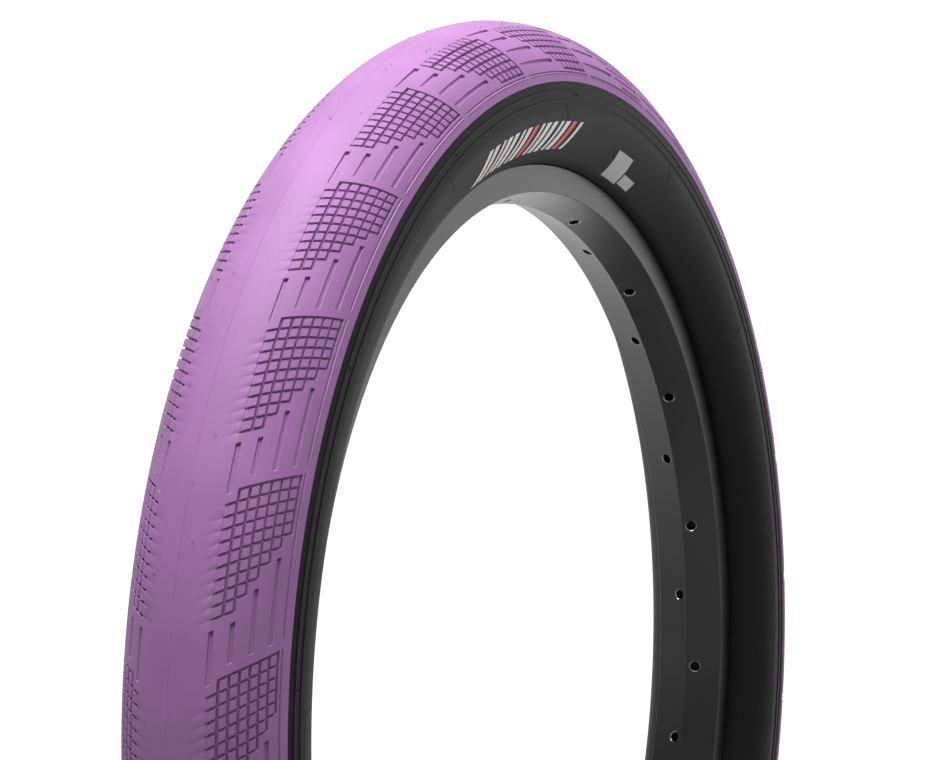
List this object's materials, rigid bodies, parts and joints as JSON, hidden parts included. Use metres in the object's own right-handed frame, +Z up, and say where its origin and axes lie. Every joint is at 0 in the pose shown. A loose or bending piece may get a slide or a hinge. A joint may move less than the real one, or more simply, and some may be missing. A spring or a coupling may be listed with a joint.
{
  "type": "bmx tyre on rim",
  "caption": "BMX tyre with patterned purple tread and black sidewalls, fitted on an unlaced double-wall rim with tube and valve.",
  "frame": {"origin": "centre of the wheel, where the hub's axle would be", "axes": "+Y along the wheel's axle, away from the near side; +Z up, with the valve at the bottom of the rim"},
  "size_m": [0.5338, 0.064, 0.5336],
  "materials": {
    "rim_anodised": "black anodised, satin",
    "bare_aluminium": "as extruded",
    "rim_tape": "matt nylon tape",
    "butyl": "smooth butyl rubber",
    "tread_rubber": "purple moulded rubber, satin",
    "sidewall_rubber": "black moulded rubber, satin",
    "cord": "rubberised nylon cord",
    "chafer_cloth": "black woven strip",
    "breaker": "woven aramid",
    "bead_steel": "bronzed steel wire",
    "stem_rubber": "moulded rubber",
    "brass": "turned brass",
    "spring_steel": "stainless wire",
    "core_seal": "red seal rubber",
    "cap_plastic": "moulded plastic",
    "print_white": "printed",
    "print_grey": "printed"
  },
  "bodies": {
    "wheel": {"rim": "rim_anodised", "rim_joint_sleeve": "bare_aluminium", "rim_strip": "rim_tape", "inner_tube": "butyl", "tread": "tread_rubber", "sidewall_near": "sidewall_rubber", "sidewall_far": "sidewall_rubber", "casing_inner_ply": "cord", "casing_outer_ply": "cord", "chafer_near": "chafer_cloth", "chafer_far": "chafer_cloth", "breaker_strip": "breaker", "bead_wire_near": "bead_steel", "bead_wire_far": "bead_steel", "valve_stem_rubber": "stem_rubber", "valve_stem": "brass", "valve_core_body": "brass", "valve_core_spring": "spring_steel", "valve_core_barrel_seal": "core_seal", "label_near": "print_white", "label_far": "print_white", "badge_near": "print_grey", "badge_far": "print_grey"},
    "cap_lift": {"valve_cap_seal": "butyl"},
    "cap": {"valve_cap": "cap_plastic"},
    "pin": {"valve_core_pin": "brass", "valve_core_seat_seal": "core_seal"}
  },
  "joints": [
    {"name": "cap_unscrew_lift", "type": "slide", "parent": "wheel", "child": "cap_lift", "axis": [0, 0, 1], "range_m": [0, 0.00635]},
    {"name": "cap_unscrew_turn", "type": "hinge", "parent": "cap_lift", "child": "cap", "pos_m": [0, 0, -0.1647], "axis": [0, 0, 1], "range_deg": [0, 2880]},
    {"name": "valve_pin_press", "type": "slide", "parent": "wheel", "child": "pin", "axis": [0, 0, -1], "range_m": [0, 0.0012], "stiffness_N_per_m": 1500, "springref_m": -0.0006, "deforming": ["valve_core_spring"]}
  ],
  "couplings": [
    {"joint": "cap_unscrew_turn", "follows": "cap_unscrew_lift", "rad_per_m": 7915.8}
  ]
}
